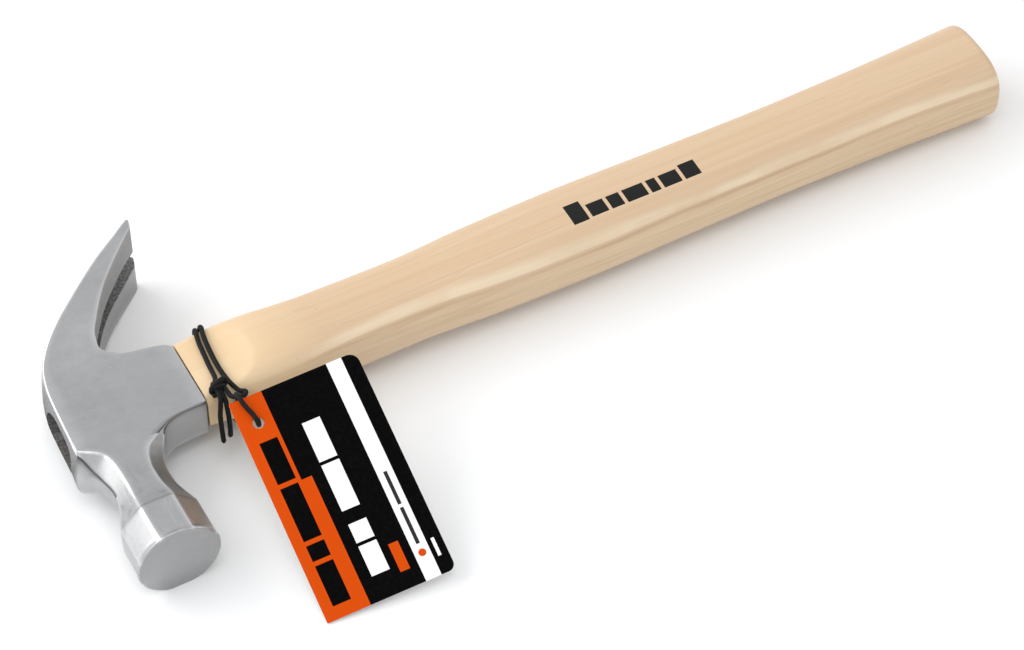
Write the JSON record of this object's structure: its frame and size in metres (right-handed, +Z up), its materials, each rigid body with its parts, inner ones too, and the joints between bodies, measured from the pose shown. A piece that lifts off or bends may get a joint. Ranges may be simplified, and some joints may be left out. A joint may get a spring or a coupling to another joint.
{
  "type": "claw hammer",
  "caption": "Curved-claw hammer with a forged steel head wedged on an oval varnished wooden handle, and a card swing tag on a black elastic loop hitched round the neck.",
  "frame": {"origin": "bottom centre of the hammer's box, measured without the elastic and the card", "axes": "+X along the handle from the head to the butt, +Y from the striking face to the claws, +Z up through the thickness, the hammer lying on its side"},
  "size_m": [0.2958, 0.1371, 0.0298],
  "materials": {
    "head_steel": "satin ground steel, fine brushed lines, bright worn edges",
    "handle_wood": "pale straight-grained wood under clear satin varnish",
    "wedge_wood": "plain darker wood, bare end grain",
    "wedge_steel": "plain cut steel",
    "card": "printed card in orange, black and white blocks with a light gloss",
    "elastic": "black round braided elastic"
  },
  "bodies": {
    "hammer": {"hammer_head": "head_steel", "handle": "handle_wood", "wooden_wedge": "wedge_wood", "steel_wedge_front": "wedge_steel", "steel_wedge_rear": "wedge_steel", "elastic_knot": "elastic", "elastic_strand_left": "elastic", "elastic_strand_right": "elastic", "elastic_tail_left": "elastic", "elastic_tail_right": "elastic", "elastic_tag_loop": "elastic"},
    "card": {"tag_card": "card"}
  },
  "joints": [
    {"name": "card_swing", "type": "hinge", "parent": "hammer", "child": "card", "pos_m": [-0.0998, -0.02798, 0.0238], "axis": [-0.992, 0.0711, -0.1045], "range_deg": [0, 30]}
  ]
}
